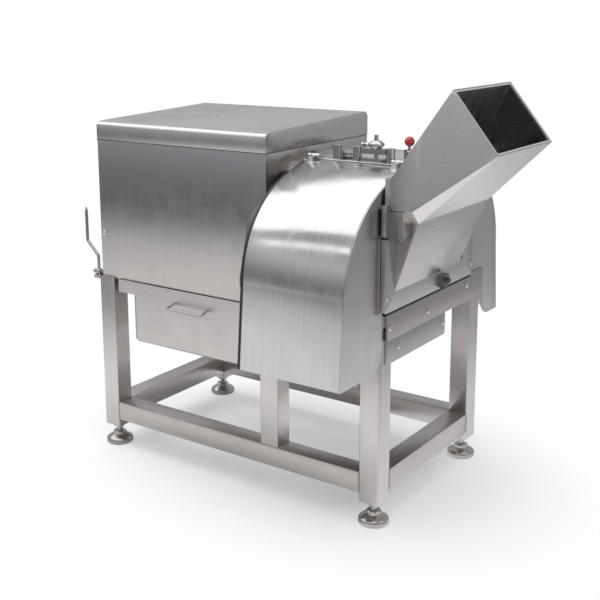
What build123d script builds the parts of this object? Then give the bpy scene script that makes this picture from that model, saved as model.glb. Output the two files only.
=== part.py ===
from build123d import *
import math
import os

# Frozen meat dicer: a tube frame on four levelling feet, a drive housing on the left (-X), an arched
# cutting head on the right (+X) that overhangs the frame front and back, and a feed door with a square
# chute on the right end. The front faces -Y. The origin is on the floor, under the front left foot's centre.

# Frame
frame_length = 1264.0
frame_width = 746.0
tube = 76.0
tube_wall = 3.0
tube_corner = 5.0
leg_bottom = 80.0
frame_top = 694.0
rail_bottom = 110.0
mid_leg_offset = 816.0
top_rail = 40.0
foot_plate = 8.0
fit = 0.05
gap = 0.3

# Levelling feet
foot_radius = 53.0
foot_rim = 14.0
foot_collar_radius = 26.0
foot_collar_top = 46.0
foot_stem_radius = 12.0
foot_stem_reach = 60.0
nut_across = 40.0
nut_height = 14.0

# Drive housing
housing_inset = 8.0
gear_space = 66.0
housing_depth = 672.0
sheet = 3.0
lid_seam = 1231.0
lid_lip = 54.0
lid_top = 1322.0
lid_front_top = 1302.0
lid_round = 24.0
lid_roll = 56.0
lid_hinge_radius = 6.0

# Cutting head casing
head_length = 382.0
bulkhead_thickness = 10.0
end_wall_thickness = 4.0
head_mid_offset = 326.0
arch_half_width = 550.0
arch_top = 1226.0
crown_radius = 800.0
shoulder_radius = 345.0
wall_lean = 24.0
cover_bottom = 557.0
cover_sheet = 3.0
crown_half_width = 176.0
cover_play = 1.0
base_thickness = 12.0
cover_pin_radius = 5.0

# Shafts and cutting set
head_axis_offset = 300.0
head_axis_height = 930.0
shaft_radius = 25.0
spindle_radius = 15.0
spindle_distance = 290.0
spindle_pair_distance = 160.0
drum_radius = 221.0
drum_wall = 10.0
impeller_radius = 205.0
impeller_width = 232.0
paddle_count = 5
crosscut_radius = 62.0
circular_radius = 88.0
circular_pitch = 26.0
gear_module = 5.0
gear_width = 36.0
main_teeth = 76
crosscut_teeth = 40
circular_teeth = 24
gearcase_wall = 8.0

# Motor and belt drive
motor_radius = 105.0
motor_length = 300.0
motor_offset = 545.0
motor_foot_height = 22.0
motor_shaft_radius = 19.0
motor_pulley_radius = 60.0
shaft_pulley_radius = 150.0
belt_count = 3
belt_pitch = 19.0
belt_depth = 10.0
pulley_width = 66.0
pulley_right_offset = 510.0
plate = 12.0

# Feed door and chute
door_back_gap = 8.0
door_thickness = 16.0
door_left = -23.0
door_width = 638.0
door_bottom = 757.0
door_height = 433.0
door_shoulder_rise = 351.0
throat_left = 55.0
throat_rise = 75.0
hinge_pin_radius = 8.0
hinge_pin_out = 40.0
hinge_pin_offset = 5.0
hinge_block_drop = 40.0
hinge_block_height = 80.0
hinge_block_back = 52.0
hinge_leaf = 6.0
chute_mouth_width = 430.0
chute_mouth_low_out = 318.0
chute_mouth_lift = 224.0
chute_mouth_rise = 193.0
chute_mouth_back = 153.0
chute_sheet = 4.0
chute_root_rise = 428.0
boot_reach = 80.0
boot_rise = 61.0
boot_height = 230.0
boot_slant = 53.0
boot_left = 40.0

# Drawer pan
drawer_left = 160.0
drawer_width = 600.0
drawer_depth = 600.0
drawer_bottom = 457.0
drawer_top = 646.0
drawer_corner = 38.0
drawer_flange = 14.0
drawer_handle_radius = 5.5
drawer_handle_width = 162.0
drawer_handle_drop = 12.0
drawer_handle_reach = 40.0

# Small hardware
apron_bottom = 651.0
apron_height = 101.0
apron_thickness = 8.0
ball_radius = 17.0
lever_rod = 6.0
ball_lever_reach = 35.0
lever_pin_radius = 4.0
stud_radius = 7.0

# Positions worked out from the sizes above
left = -tube / 2
right = left + frame_length
front = -tube / 2
back = front + frame_width
mid_leg = left + mid_leg_offset
head_left = right - head_length
bulkhead_left = head_left - bulkhead_thickness
housing_left = left + housing_inset
housing_right = bulkhead_left - gear_space
housing_length = housing_right - housing_left
housing_front = front + housing_inset
housing_back = housing_front + housing_depth
head_mid = front + head_mid_offset
axis_y = front + head_axis_offset
axis_z = head_axis_height
motor_y = front + motor_offset
motor_z = frame_top + sheet + plate + motor_foot_height + motor_radius
wall_out = right + end_wall_thickness
door_in = wall_out + door_back_gap
door_out = door_in + door_thickness
door_y = front + door_left
door_far = door_y + door_width
door_top = door_bottom + door_height
door_mid = door_y + door_width / 2
door_shoulder = door_bottom + door_shoulder_rise
throat_bottom = door_bottom + throat_rise
chute_root_top = door_bottom + chute_root_rise
boot_bottom = door_bottom + boot_rise
boot_ridge_height = boot_bottom + boot_height
hinge_block_bottom = boot_ridge_height - hinge_block_drop
base_top = frame_top + base_thickness
pin_x = door_out + hinge_pin_out
pin_y = front + hinge_pin_offset

os.makedirs("parts", exist_ok=True)


def save(piece, name):
    """Label a finished piece and write it as one STEP file."""
    piece.part.label = name
    export_step(piece.part, f"parts/{name}.step")


def block(x0, x1, y0, y1, z0, z1, mode=Mode.ADD):
    """A box between two corners, inside the part that is being built."""
    with Locations(((x0 + x1) / 2, (y0 + y1) / 2, (z0 + z1) / 2)):
        Box(x1 - x0, y1 - y0, z1 - z0, mode=mode)


def rod_x(x0, x1, y, z, radius, mode=Mode.ADD):
    """A cylinder along X."""
    with Locations(Location(((x0 + x1) / 2, y, z), (0, 90, 0))):
        Cylinder(radius, x1 - x0, mode=mode)


def rod_z(x, y, z0, z1, radius, mode=Mode.ADD):
    """A cylinder along Z."""
    with Locations((x, y, (z0 + z1) / 2)):
        Cylinder(radius, z1 - z0, mode=mode)


def across(x):
    """A sketch plane whose local x is +Y, local y is +Z and normal is +X."""
    return Plane(origin=(x, 0, 0), x_dir=(0, 1, 0), z_dir=(1, 0, 0))


def facing(y):
    """A sketch plane whose local x is +X, local y is +Z and normal is -Y."""
    return Plane(origin=(0, y, 0), x_dir=(1, 0, 0), z_dir=(0, -1, 0))


# Tube frame: legs, lower rails and the lighter rails under the housing and the head
leg_columns = {"left": left + tube / 2, "middle": mid_leg, "right": right - tube / 2}
leg_rows = {"front": front + tube / 2, "back": back - tube / 2}
for row, y in leg_rows.items():
    with BuildPart() as legs:
        for column, x in leg_columns.items():
            bottom = rail_bottom + tube if column == "middle" else leg_bottom
            with BuildSketch(Plane.XY.offset(bottom)):
                with Locations((x, y)):
                    RectangleRounded(tube, tube, tube_corner)
            extrude(amount=frame_top - bottom)
            with BuildSketch(Plane.XY.offset(bottom + foot_plate)):
                with Locations((x, y)):
                    Rectangle(tube - 2 * tube_wall, tube - 2 * tube_wall)
            extrude(amount=frame_top - bottom - foot_plate - tube_wall, mode=Mode.SUBTRACT)
            if column != "middle":
                rod_z(x, y, bottom - 1, bottom + 2 * foot_plate, foot_stem_radius + fit, Mode.SUBTRACT)
    save(legs, f"{row}_legs")

with BuildPart() as rail:
    for y in leg_rows.values():
        block(left + tube, right - tube, y - tube / 2, y + tube / 2, rail_bottom, rail_bottom + tube)
        block(
            left + tube - 1, right - tube + 1, y - tube / 2 + tube_wall, y + tube / 2 - tube_wall,
            rail_bottom + tube_wall, rail_bottom + tube - tube_wall, Mode.SUBTRACT,
        )
save(rail, "lower_rails_long")
with BuildPart() as end_rails:
    for column in ("left", "right"):
        x = leg_columns[column]
        block(x - tube / 2, x + tube / 2, front + tube, back - tube, rail_bottom, rail_bottom + tube)
        block(
            x - tube / 2 + tube_wall, x + tube / 2 - tube_wall, front + tube - 1, back - tube + 1,
            rail_bottom + tube_wall, rail_bottom + tube - tube_wall, Mode.SUBTRACT,
        )
save(end_rails, "lower_rails_ends")

rail_z = frame_top - top_rail
with BuildPart() as upper_rails:
    for row, y in leg_rows.items():
        inner = y + (tube - top_rail) / 2 * (1 if row == "front" else -1)
        for x0, x1 in ((left + tube, mid_leg - tube / 2), (mid_leg + tube / 2, right - tube)):
            block(x0, x1, inner - top_rail / 2, inner + top_rail / 2, rail_z, frame_top)
    for x in leg_columns.values():
        block(x - top_rail / 2, x + top_rail / 2, front + tube, back - tube, rail_z, frame_top)
save(upper_rails, "upper_rails")

# Levelling feet: domed disc, collar and threaded stem, turned in one piece
for row, y in leg_rows.items():
    for column in ("left", "right"):
        x = leg_columns[column]
        with BuildPart() as foot:
            with BuildSketch(Plane.XZ.offset(-y)):
                with BuildLine():
                    Polyline((x, 0), (x + foot_radius - 4, 0), (x + foot_radius, 4), (x + foot_radius, foot_rim))
                    Spline(
                        (x + foot_radius, foot_rim),
                        (x + foot_collar_radius + 12, foot_rim + 14),
                        (x + foot_collar_radius, foot_rim + 20),
                        tangents=((-0.2, 1), (-1, 0.3)),
                    )
                    Polyline(
                        (x + foot_collar_radius, foot_rim + 20),
                        (x + foot_collar_radius, foot_collar_top - 3),
                        (x + foot_collar_radius - 3, foot_collar_top),
                        (x + foot_stem_radius, foot_collar_top),
                        (x + foot_stem_radius, leg_bottom + foot_stem_reach),
                        (x, leg_bottom + foot_stem_reach),
                        (x, 0),
                    )
                make_face()
            revolve(axis=Axis((x, y, 0), (0, 0, 1)))
        save(foot, f"levelling_foot_{row}_{column}")

with BuildPart() as lock_nuts:
    for y in leg_rows.values():
        for x in (leg_columns["left"], leg_columns["right"]):
            with BuildSketch(Plane.XY.offset(leg_bottom - nut_height)):
                with Locations((x, y)):
                    RegularPolygon(nut_across / 2, 6, major_radius=False)
                    Circle(foot_stem_radius + fit, mode=Mode.SUBTRACT)
            extrude(amount=nut_height)
save(lock_nuts, "foot_lock_nuts")

lid_hinge_y = housing_back + lid_hinge_radius + 5
lid_hinge_z = lid_seam + 10
lid_hinge_places = (housing_left + 160, housing_right - 160)

# Drive housing: an open-topped sheet box on the frame, with a shaft hole in its right wall
with BuildPart() as housing:
    with BuildSketch(Plane.XY.offset(frame_top)):
        with Locations(((housing_left + housing_right) / 2, (housing_front + housing_back) / 2)):
            RectangleRounded(housing_length, housing_depth, 4)
    extrude(amount=lid_seam - frame_top)
    block(
        housing_left + sheet, housing_right - sheet, housing_front + sheet, housing_back - sheet,
        frame_top + sheet, lid_seam + 1, Mode.SUBTRACT,
    )
    rod_x(housing_right - 2 * sheet, housing_right + 1, axis_y, axis_z, shaft_radius + 12, Mode.SUBTRACT)
    # Fixed halves of the lid hinges, with their pins
    for x in lid_hinge_places:
        rod_x(x - 52, x + 52, lid_hinge_y, lid_hinge_z, lid_hinge_radius)
        for side in (-1, 1):
            centre = x + side * 39
            rod_x(centre - 12, centre + 12, lid_hinge_y, lid_hinge_z, lid_hinge_radius + 3)
            block(centre - 12, centre + 12, housing_back - 1, lid_hinge_y, lid_seam - 40, lid_seam)
            block(centre - 12, centre + 12, housing_back + gap, lid_hinge_y, lid_seam - 1, lid_hinge_z)
save(housing, "housing_body")


def lid_face(x, inset):
    """The lid's side profile, moved inwards: an upright lip that rolls over into a nearly flat top."""
    y0 = housing_front + inset
    y1 = housing_back - inset
    lip = lid_seam + lid_lip - 2 * inset
    roll_y = housing_front + lid_roll
    with BuildSketch(across(x)) as face:
        with BuildLine():
            Line((y1 - lid_round, lid_top - inset), (roll_y, lid_front_top - inset))
            Spline((roll_y, lid_front_top - inset), (y0, lip), tangents=((-1, -0.1), (-0.25, -1)))
            Polyline((y0, lip), (y0, lid_seam), (y1, lid_seam), (y1, lid_top - inset - lid_round))
            RadiusArc((y1, lid_top - inset - lid_round), (y1 - lid_round, lid_top - inset), -lid_round)
        make_face()
    return face.sketch


with BuildPart() as lid:
    extrude(lid_face(housing_left, 0), amount=housing_length)
    extrude(lid_face(housing_left + sheet, sheet), amount=housing_length - 2 * sheet, mode=Mode.SUBTRACT)
    # Rests 0.3 mm above the box rim
    block(
        housing_left - 1, housing_right + 1, housing_front - 1, housing_back + 1,
        lid_seam - 1, lid_seam + gap, Mode.SUBTRACT,
    )
    for x in lid_hinge_places:
        rod_x(x - 26, x + 26, lid_hinge_y, lid_hinge_z, lid_hinge_radius + 3)
        block(x - 26, x + 26, housing_back - 1, lid_hinge_y, lid_hinge_z - 4, lid_hinge_z + 9)
        rod_x(x - 30, x + 30, lid_hinge_y, lid_hinge_z, lid_hinge_radius + fit, Mode.SUBTRACT)
save(lid, "housing_lid")

# Motor on its plate, with pulley and belts
motor_right = housing_left + 420
motor_left = motor_right - motor_length
floor = frame_top + sheet
with BuildPart() as motor_plate:
    block(motor_left - 20, motor_right + 20, motor_y - 100, motor_y + 100, floor, floor + plate)
    for x in (motor_left + 70, motor_right - 70):
        block(x - 25, x + 25, motor_y - 80, motor_y + 80, floor + plate, motor_z - motor_radius + 8)
save(motor_plate, "motor_plate")

with BuildPart() as motor:
    rod_x(motor_left + 55, motor_right, motor_y, motor_z, motor_radius)
    chamfer(motor.edges().filter_by(GeomType.CIRCLE), 5)
    rod_x(motor_left, motor_left + 55, motor_y, motor_z, motor_radius - 8)
    block(motor_left + 130, motor_left + 220, motor_y - 45, motor_y + 45, motor_z + 60, motor_z + 142)
    for x in (motor_left + 70, motor_right - 70):
        block(
            x - 26, x + 26, motor_y - 81, motor_y + 81,
            motor_z - motor_radius - 20, motor_z - motor_radius + 8, Mode.SUBTRACT,
        )
    rod_x(motor_left + 100, motor_right + 1, motor_y, motor_z, motor_shaft_radius + fit, Mode.SUBTRACT)
save(motor, "drive_motor")

pulley_right = housing_left + pulley_right_offset
pulley_left = pulley_right - pulley_width
with BuildPart() as motor_rotor:
    rod_x(motor_left + 110, pulley_right, motor_y, motor_z, motor_shaft_radius)
save(motor_rotor, "motor_shaft")


def pulley(name, y, z, radius, bore):
    """A V-belt pulley with one trapezoid groove for each belt."""
    with BuildPart() as wheel:
        rod_x(pulley_left, pulley_right, y, z, radius)
        for number in range(belt_count):
            x = pulley_left + (pulley_width - (belt_count - 1) * belt_pitch) / 2 + number * belt_pitch
            with BuildSketch(Plane(origin=(0, y, z), x_dir=(1, 0, 0), z_dir=(0, -1, 0))):
                with BuildLine():
                    Polyline(
                        (x - 8, radius + 1), (x - 5, radius - belt_depth),
                        (x + 5, radius - belt_depth), (x + 8, radius + 1), close=True,
                    )
                make_face()
            revolve(axis=Axis((0, y, z), (1, 0, 0)), mode=Mode.SUBTRACT)
        rod_x(pulley_left - 1, pulley_right + 1, y, z, bore + fit, Mode.SUBTRACT)
    save(wheel, name)


pulley("motor_pulley", motor_y, motor_z, motor_pulley_radius, motor_shaft_radius)
pulley("shaft_pulley", axis_y, axis_z, shaft_pulley_radius, shaft_radius)


def belt_loop(extra):
    """The hull of the two pulleys' running circles, grown outwards."""
    with Locations((motor_y, motor_z)):
        Circle(motor_pulley_radius - belt_depth + extra)
    with Locations((axis_y, axis_z)):
        Circle(shaft_pulley_radius - belt_depth + extra)
    make_hull()


with BuildPart() as belts:
    for number in range(belt_count):
        x = pulley_left + (pulley_width - (belt_count - 1) * belt_pitch) / 2 + number * belt_pitch
        with BuildSketch(across(x - 4)):
            belt_loop(belt_depth)
        extrude(amount=8)
        with BuildSketch(across(x - 5)):
            belt_loop(gap)
        extrude(amount=10, mode=Mode.SUBTRACT)
save(belts, "drive_belts")

# Main shaft, its pillow block and pedestal
shaft_left = pulley_left - 20
block_x = (pulley_right + housing_right) / 2
drum_back = head_left + 56
impeller_back = drum_back + 12
with BuildPart() as main_shaft:
    rod_x(shaft_left, impeller_back + 60, axis_y, axis_z, shaft_radius)
save(main_shaft, "main_shaft")

pedestal_top = axis_z - 55
with BuildPart() as pedestal:
    with BuildSketch(across(block_x - 40)):
        with BuildLine():
            Polyline(
                (axis_y - 130, floor), (axis_y + 130, floor), (axis_y + 90, pedestal_top),
                (axis_y - 90, pedestal_top), close=True,
            )
        make_face()
    extrude(amount=80)
    block(block_x - 30, block_x + 30, axis_y - 200, axis_y - 12, floor + 10, pedestal_top - 12, Mode.SUBTRACT)
    block(block_x - 30, block_x + 30, axis_y + 12, axis_y + 200, floor + 10, pedestal_top - 12, Mode.SUBTRACT)
    with BuildSketch(across(block_x - 24)):
        with Locations((axis_y, axis_z)):
            Circle(46)
        with Locations((axis_y, pedestal_top + 9)):
            Rectangle(160, 18)
        with Locations((axis_y, pedestal_top + 27)):
            Rectangle(70, 54)
        with Locations((axis_y, axis_z)):
            Circle(shaft_radius + fit, mode=Mode.SUBTRACT)
    extrude(amount=48)
save(pedestal, "bearing_pedestal")

# Cutting spindles: their axes lie in front of the drum
cross_angle = math.radians(6)
cross_y = axis_y - spindle_distance * math.cos(cross_angle)
cross_z = axis_z + spindle_distance * math.sin(cross_angle)
circular_y = cross_y - spindle_pair_distance * math.cos(math.radians(60))
circular_z = cross_z - spindle_pair_distance * math.sin(math.radians(60))

# Gear case between the housing and the head's bulkhead
gear_left = housing_right + gearcase_wall + 6
gear_right = gear_left + gear_width


def gearcase_outline(extra):
    """The hull round the three gears."""
    with Locations((axis_y, axis_z)):
        Circle(gear_module * (main_teeth / 2 + 1.5) + extra)
    with Locations((cross_y, cross_z)):
        Circle(gear_module * (crosscut_teeth / 2 + 1.5) + extra)
    with Locations((circular_y, circular_z)):
        Circle(gear_module * (circular_teeth / 2 + 1.5) + extra)
    make_hull()


with BuildPart() as gearcase:
    with BuildSketch(across(housing_right)):
        gearcase_outline(gearcase_wall)
    extrude(amount=bulkhead_left - housing_right)
    with BuildSketch(across(housing_right + gearcase_wall)):
        gearcase_outline(0)
    extrude(amount=bulkhead_left - housing_right, mode=Mode.SUBTRACT)
    rod_x(housing_right - 1, housing_right + 20, axis_y, axis_z, shaft_radius + fit, Mode.SUBTRACT)
save(gearcase, "gear_case")


def gear(name, y, z, teeth, bore, turn):
    """A spur gear with straight-flanked teeth."""
    pitch = gear_module * teeth / 2
    step = 2 * math.pi / teeth
    points = []
    for tooth in range(teeth):
        for share, radius in ((-0.29, -1.25), (-0.12, 0.95), (0.12, 0.95), (0.29, -1.25)):
            angle = turn + (tooth + share) * step
            size = pitch + gear_module * radius
            points.append((y + size * math.cos(angle), z + size * math.sin(angle)))
    with BuildPart() as wheel:
        with BuildSketch(across(gear_left)):
            with BuildLine():
                Polyline(*points, close=True)
            make_face()
            with Locations((y, z)):
                Circle(bore + fit, mode=Mode.SUBTRACT)
        extrude(amount=gear_width)
    save(wheel, name)


# A tooth of each driven gear meets a gap of its driver on the line between the centres
to_cross = math.pi - cross_angle
main_step = 2 * math.pi / main_teeth
cross_step = 2 * math.pi / crosscut_teeth
circular_step = 2 * math.pi / circular_teeth
down_front = math.radians(240)
cross_turn = to_cross + math.pi
offset_in_cross = (down_front - cross_turn) / cross_step
gear("main_gear", axis_y, axis_z, main_teeth, shaft_radius, to_cross + main_step / 2)
gear("crosscut_gear", cross_y, cross_z, crosscut_teeth, spindle_radius, cross_turn)
circular_turn = down_front + math.pi + circular_step * (0.5 + offset_in_cross)
gear("circular_gear", circular_y, circular_z, circular_teeth, spindle_radius, circular_turn)

# Head casing: arch profile shared by the bulkhead, the end wall, the crown strip and the covers
shoulder_y = arch_half_width - shoulder_radius
crown_z = arch_top - crown_radius
shoulder_z = crown_z + math.sqrt((crown_radius - shoulder_radius) ** 2 - shoulder_y**2)
crown_share = shoulder_y / (crown_radius - shoulder_radius)


def arch_points(inset):
    """Where the arch turns from straight wall to shoulder, and from shoulder to crown, for y > 0."""
    foot = (arch_half_width + wall_lean - inset, cover_bottom)
    spring = (arch_half_width - inset, shoulder_z)
    join_y = (crown_radius - inset) * crown_share
    join_z = crown_z + (crown_radius - inset) * math.sqrt(1 - crown_share**2)
    middle = math.radians(45 - math.degrees(math.asin(crown_share)) / 2)
    on_shoulder = (
        shoulder_y + (shoulder_radius - inset) * math.cos(middle),
        shoulder_z + (shoulder_radius - inset) * math.sin(middle),
    )
    return foot, spring, on_shoulder, (join_y, join_z), (0, arch_top - inset)


def arch_face(x, inset):
    """Closed arch outline about the head's mid plane, on a plane across X."""
    foot, spring, shoulder, join, top = arch_points(inset)
    with BuildSketch(across(x)) as face:
        with BuildLine():
            for side in (-1, 1):
                Line((head_mid + side * foot[0], foot[1]), (head_mid + side * spring[0], spring[1]))
                ThreePointArc(
                    (head_mid + side * spring[0], spring[1]),
                    (head_mid + side * shoulder[0], shoulder[1]),
                    (head_mid + side * join[0], join[1]),
                )
            ThreePointArc((head_mid - join[0], join[1]), (head_mid, top[1]), (head_mid + join[0], join[1]))
            Line((head_mid - foot[0], foot[1]), (head_mid + foot[0], foot[1]))
        make_face()
    return face.sketch


with BuildPart() as bulkhead:
    extrude(arch_face(bulkhead_left, 0), amount=bulkhead_thickness)
    block(
        bulkhead_left - 1, head_left + 1, front - 2, back + 2, cover_bottom - 1, frame_top, Mode.SUBTRACT,
    )
    for y, z, radius in (
        (axis_y, axis_z, shaft_radius), (cross_y, cross_z, spindle_radius), (circular_y, circular_z, spindle_radius),
    ):
        rod_x(bulkhead_left - 1, head_left + 1, y, z, radius + 2, Mode.SUBTRACT)
    # Bushes of the knife spindles
    for y, z in ((cross_y, cross_z), (circular_y, circular_z)):
        rod_x(head_left, head_left + 40, y, z, 32)
        rod_x(head_left - 1, head_left + 41, y, z, spindle_radius + fit, Mode.SUBTRACT)
save(bulkhead, "head_bulkhead")

notch_front = front + 6
notch_back = back + 8
with BuildPart() as end_wall:
    extrude(arch_face(right, 0), amount=end_wall_thickness)
    block(right - 1, wall_out + 1, notch_front, notch_back, cover_bottom - 1, frame_top + 4, Mode.SUBTRACT)
    wing_corner = end_wall.edges().filter_by(Axis.X).sort_by(Axis.Z)[:4].sort_by(Axis.Y)[1:3]
    fillet(wing_corner, min(70, 0.48 * (head_mid + arch_points(0)[0][0] - notch_back)))
    with BuildSketch(across(right)):
        with Locations((door_mid, (throat_bottom + chute_root_top) / 2 - 20)):
            RectangleRounded(door_width - 140, chute_root_top - throat_bottom - 90, 40)
    extrude(amount=end_wall_thickness, mode=Mode.SUBTRACT)
save(end_wall, "end_wall")

hopper_left = head_left + 12
hopper_right = right - tube - 8
hopper_front = front + tube + 8
hopper_back = back - tube - 60
with BuildPart() as head_base:
    block(head_left, right, front, back, frame_top, base_top)
    block(
        hopper_left + 14, hopper_right - 14, hopper_front + 14, hopper_back - 14,
        frame_top - 1, base_top + 1, Mode.SUBTRACT,
    )
save(head_base, "head_base")


def arch_sheet(x0, x1, y0, y1):
    """The arch's sheet between two places along X and two along Y, inside the part that is being built."""
    extrude(arch_face(x0, 0), amount=x1 - x0)
    extrude(arch_face(x0, cover_sheet), amount=x1 - x0, mode=Mode.SUBTRACT)
    block(x0, x1, y0, y1, cover_bottom - 1, arch_top + 1, Mode.INTERSECT)


crown_front = head_mid - crown_half_width
crown_back = head_mid + crown_half_width


def crown_at(y):
    """Height of the crown's outside at a place across the head."""
    return crown_z + math.sqrt(crown_radius**2 - (y - head_mid) ** 2)


seam_z = crown_at(crown_front)
pin_height = seam_z + cover_pin_radius + 5.5
cover_hinges = (head_left + 30, right - 28)
lever_y = head_mid - 70
lever_x = right - 45
lever_z = crown_at(lever_y)
with BuildPart() as crown:
    arch_sheet(head_left, right, crown_front, crown_back)
    for y, inward in ((crown_front, 1), (crown_back, -1)):
        for x in cover_hinges:
            rod_x(x - 22, x + 22, y, pin_height, cover_pin_radius)
            for side in (-1, 1):
                middle = x + side * 16.5
                rod_x(middle - 5.5, middle + 5.5, y, pin_height, cover_pin_radius + 4)
                block(
                    middle - 5.5, middle + 5.5, min(y, y + inward * 24), max(y, y + inward * 24),
                    seam_z - 1, pin_height,
                )
    # Lugs and pin of the ball lever
    for side in (-1, 1):
        lug_x = lever_x + side * 11
        block(lug_x - 3, lug_x + 3, lever_y - 12, lever_y + 12, lever_z - 2, lever_z + 24)
    rod_x(lever_x - 14, lever_x + 14, lever_y, lever_z + 14, lever_pin_radius)
save(crown, "crown_strip")

for name, side in (("front_cover", -1), ("back_cover", 1)):
    hinge_y = head_mid + side * crown_half_width
    near = hinge_y + side * gap
    far = head_mid + side * (arch_half_width + wall_lean + 1)
    with BuildPart() as cover:
        arch_sheet(head_left + cover_play, right - cover_play, min(near, far), max(near, far))
        for x in cover_hinges:
            rod_x(x - 10, x + 10, hinge_y, pin_height, cover_pin_radius + 4)
            block(
                x - 10, x + 10, min(near, hinge_y + side * 30), max(near, hinge_y + side * 30),
                seam_z - 8, pin_height,
            )
            rod_x(x - 11, x + 11, hinge_y, pin_height, cover_pin_radius + fit, Mode.SUBTRACT)
    save(cover, name)

# Main shaft hub on the bulkhead, drum case and impeller
with BuildPart() as hub:
    rod_x(head_left, drum_back, axis_y, axis_z, 70)
    rod_x(head_left, head_left + 14, axis_y, axis_z, 110)
    rod_x(head_left - 1, drum_back + 1, axis_y, axis_z, shaft_radius + fit, Mode.SUBTRACT)
save(hub, "main_bearing_hub")

drum_right = impeller_back + impeller_width + 4
window_half = 24.0
with BuildPart() as drum:
    rod_x(drum_back, drum_right, axis_y, axis_z, drum_radius)
    rod_x(drum_back + 8, drum_right + 1, axis_y, axis_z, drum_radius - drum_wall, Mode.SUBTRACT)
    rod_x(drum_back - 1, drum_back + 9, axis_y, axis_z, shaft_radius + 6, Mode.SUBTRACT)
    # Slice outlet towards the knife spindles
    with BuildSketch(Plane(origin=(drum_back + 20, axis_y, axis_z), x_dir=(0, 1, 0), z_dir=(1, 0, 0))):
        with BuildLine():
            Polyline(
                (0, 0),
                (-260 * math.cos(cross_angle - 0.2), 260 * math.sin(cross_angle - 0.2)),
                (-260 * math.cos(cross_angle + 0.2), 260 * math.sin(cross_angle + 0.2)),
                close=True,
            )
        make_face()
    extrude(amount=impeller_width - 10, mode=Mode.SUBTRACT)
save(drum, "drum_case")

with BuildPart() as impeller:
    rod_x(impeller_back, impeller_back + 10, axis_y, axis_z, impeller_radius)
    rod_x(impeller_back, impeller_back + 60, axis_y, axis_z, 48)
    for number in range(paddle_count):
        start = 2 * math.pi * number / paddle_count
        with BuildSketch(across(impeller_back + 10)):
            with BuildLine():
                inner = (axis_y + 112 * math.cos(start), axis_z + 112 * math.sin(start))
                outer = (
                    axis_y + (impeller_radius - 8) * math.cos(start + 0.42),
                    axis_z + (impeller_radius - 8) * math.sin(start + 0.42),
                )
                middle = (
                    axis_y + 165 * math.cos(start + 0.13), axis_z + 165 * math.sin(start + 0.13),
                )
                paddle = ThreePointArc(inner, middle, outer)
                offset(paddle, 5, side=Side.BOTH)
            make_face()
        extrude(amount=impeller_width - 20)
    with BuildSketch(across(impeller_back + impeller_width - 10)):
        with Locations((axis_y, axis_z)):
            Circle(impeller_radius)
            Circle(impeller_radius - 40, mode=Mode.SUBTRACT)
    extrude(amount=10)
    rod_x(impeller_back - 1, impeller_back + 61, axis_y, axis_z, shaft_radius + fit, Mode.SUBTRACT)
save(impeller, "impeller")

with BuildPart() as slicing_knife:
    top_angle = math.pi - cross_angle - 0.24
    foot_y = axis_y + (drum_radius + gap) * math.cos(top_angle)
    foot_z = axis_z + (drum_radius + gap) * math.sin(top_angle)
    radial = Plane(
        origin=(drum_back + 30, foot_y, foot_z),
        x_dir=(0, -math.sin(top_angle), math.cos(top_angle)),
        z_dir=(1, 0, 0),
    )
    with BuildSketch(radial):
        with BuildLine():
            Polyline((-26, 0), (0, 0), (10, -6), (2, -12), (-26, -12), close=True)
        make_face()
    extrude(amount=impeller_width - 30)
save(slicing_knife, "slicing_knife")

# Knife spindles and the end plate that carries their far ends
spindle_end = right - 30
knife_left = drum_back
knife_right = spindle_end - 24
with BuildPart() as crosscut:
    rod_x(gear_left - 6, spindle_end, cross_y, cross_z, spindle_radius)
save(crosscut, "crosscut_spindle")

with BuildPart() as crosscut_knives:
    blade_points = []
    for number in range(6):
        start = math.pi / 3 * number
        for turn, radius in ((-0.2, 34), (0.0, crosscut_radius), (0.12, crosscut_radius - 3), (0.2, 38)):
            blade_points.append(
                (cross_y + radius * math.cos(start + turn), cross_z + radius * math.sin(start + turn))
            )
    with BuildSketch(across(knife_left)):
        with BuildLine():
            Polyline(*blade_points, close=True)
        make_face()
        with Locations((cross_y, cross_z)):
            Circle(spindle_radius + fit, mode=Mode.SUBTRACT)
    extrude(amount=knife_right - knife_left)
save(crosscut_knives, "crosscut_knives")

with BuildPart() as circular:
    rod_x(gear_left - 6, spindle_end, circular_y, circular_z, spindle_radius)
save(circular, "circular_spindle")

knife_count = int((knife_right - knife_left) / circular_pitch)
with BuildPart() as circular_knives:
    rod_x(knife_left, knife_right, circular_y, circular_z, 30)
    for number in range(knife_count):
        x = knife_left + circular_pitch * (number + 0.5)
        rod_x(x - 1.5, x + 1.5, circular_y, circular_z, circular_radius)
    rod_x(knife_left - 1, knife_right + 1, circular_y, circular_z, spindle_radius + fit, Mode.SUBTRACT)
save(circular_knives, "circular_knives")

with BuildPart() as spindle_plate:
    with BuildSketch(across(spindle_end - 18)):
        with Locations((cross_y, cross_z)):
            Circle(34)
        with Locations((circular_y, circular_z)):
            Circle(34)
        make_hull()
        with Locations((cross_y, cross_z), (circular_y, circular_z)):
            Circle(spindle_radius + fit, mode=Mode.SUBTRACT)
    extrude(amount=18)
    # Foot that stands on the head's base plate
    block(
        spindle_end - 18, spindle_end, circular_y + 6, cross_y + 20, base_top, circular_z + 10,
    )
    with Locations(Location((spindle_end - 9, circular_y, circular_z), (0, 90, 0))):
        Cylinder(spindle_radius + fit, 30, mode=Mode.SUBTRACT)
save(spindle_plate, "spindle_end_plate")

comb_z = circular_z + 10
with BuildPart() as comb:
    comb_y = circular_y + 50
    block(head_left, spindle_end - 18, comb_y + 55, comb_y + 71, comb_z - 60, comb_z - 40)
    for number in range(knife_count - 1):
        x = knife_left + circular_pitch * (number + 1)
        block(x - 9, x + 9, comb_y - 10, comb_y + 56, comb_z - 54, comb_z - 46)
save(comb, "stripper_comb")

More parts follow.
